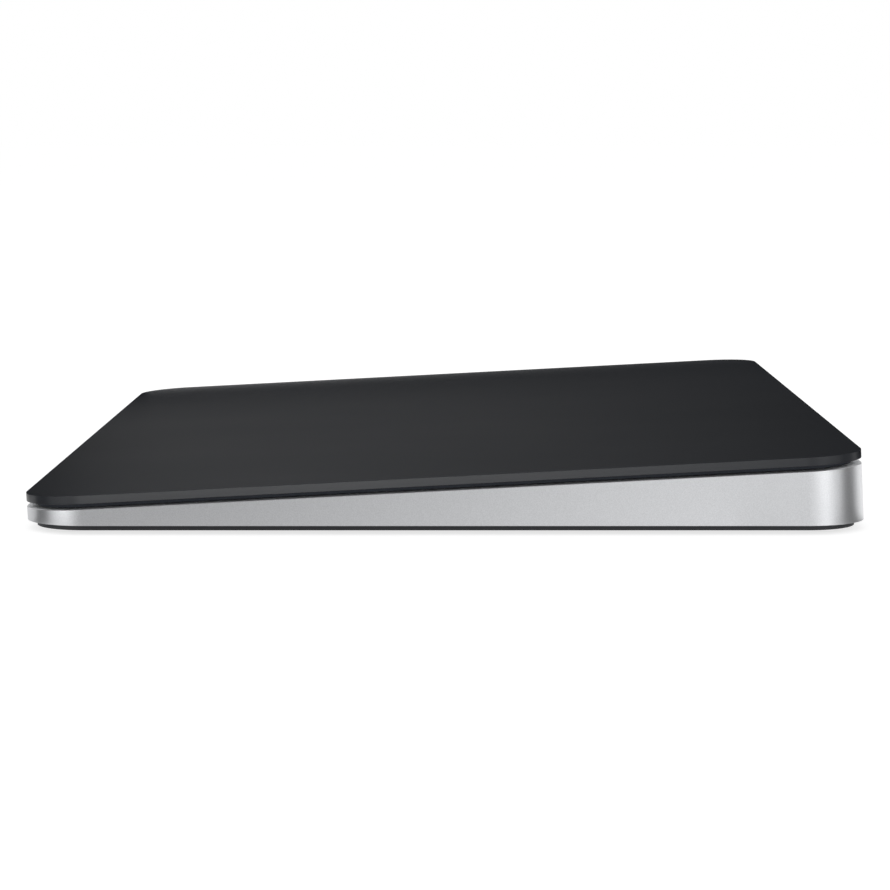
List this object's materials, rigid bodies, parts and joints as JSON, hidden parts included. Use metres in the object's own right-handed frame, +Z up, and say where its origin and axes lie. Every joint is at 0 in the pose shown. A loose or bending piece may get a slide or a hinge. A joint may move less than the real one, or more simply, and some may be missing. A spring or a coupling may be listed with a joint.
{
  "type": "trackpad",
  "caption": "Thin wedge-shaped wireless trackpad: a matte black glass touch plate floats on a satin aluminium housing with a rear charge port and a sliding power switch.",
  "frame": {"origin": "on the table under the middle of the part's bounding box", "axes": "+X to the user's right along the width, +Y from the thin front edge to the thick rear edge, +Z up"},
  "size_m": [0.16, 0.1149, 0.0109],
  "materials": {
    "black_glass": "matte black coated glass",
    "black_film": "matte",
    "sensor_board": "matte",
    "steel": "brushed",
    "screw_steel": "machined",
    "chip_black": "matte",
    "connector_white": "matte",
    "gel": "soft",
    "aluminium_satin": "bead-blasted satin",
    "cover_black": "fine texture",
    "foot_rubber": "matte",
    "bumper_rubber": "matte",
    "amber_film": "satin film",
    "core_iron": "laminated",
    "copper": "enamelled",
    "cell_foil": "foil laminate",
    "tape_white": "matte",
    "circuit_green": "solder mask",
    "shield_tin": "tinned",
    "ceramic": "matte",
    "gold": "plated",
    "flag_green": "painted"
  },
  "bodies": {
    "base": {"housing": "aluminium_satin", "bottom_cover": "cover_black", "cover_seal": "black_film", "feet": "foot_rubber", "force_leaves": "steel", "strain_gauges": "amber_film", "leaf_screws": "screw_steel", "plate_bumpers": "bumper_rubber", "haptic_tray": "steel", "haptic_core": "core_iron", "haptic_coils": "copper", "haptic_screws": "screw_steel", "battery_cell_left": "cell_foil", "battery_cell_right": "cell_foil", "battery_tape": "tape_white", "battery_guard_boards": "circuit_green", "battery_leads": "amber_film", "logic_board": "circuit_green", "logic_board_screws": "screw_steel", "processor_chip": "chip_black", "memory_chip": "chip_black", "radio_shield": "shield_tin", "charger_chip": "chip_black", "power_inductor": "core_iron", "board_capacitors": "ceramic", "board_connectors": "connector_white", "touch_flex": "amber_film", "haptic_flex": "amber_film", "gauge_flexes": "amber_film", "switch_flex": "amber_film", "antenna_strip": "copper", "antenna_contact": "gold", "charge_port_shell": "steel", "charge_port_insert": "cover_black", "charge_port_contacts": "gold", "charge_port_trim": "cover_black", "switch_housing": "cover_black", "switch_screws": "screw_steel"},
    "suspension": {"gel_pads": "gel"},
    "touch_plate": {"glass_top": "black_glass", "glass_bond_film": "black_film", "touch_sensor_board": "sensor_board", "haptic_rail": "steel", "touch_controller": "chip_black", "sensor_connector": "connector_white"},
    "power_switch": {"switch_slider": "aluminium_satin", "switch_flag": "flag_green", "switch_wiper": "gold"}
  },
  "joints": [
    {"name": "plate_press", "type": "slide", "parent": "base", "child": "suspension", "axis": [0, 0.0524, -0.9986], "range_m": [0, 0.00015], "stiffness_N_per_m": 10000, "springref_m": -0.00012, "deforming": ["force_leaves"]},
    {"name": "plate_haptic", "type": "slide", "parent": "suspension", "child": "touch_plate", "axis": [1, 0, 0], "range_m": [-0.0001, 0.0001], "stiffness_N_per_m": 15000},
    {"name": "switch_slide", "type": "slide", "parent": "base", "child": "power_switch", "axis": [1, 0, 0], "range_m": [0, 0.002]}
  ]
}
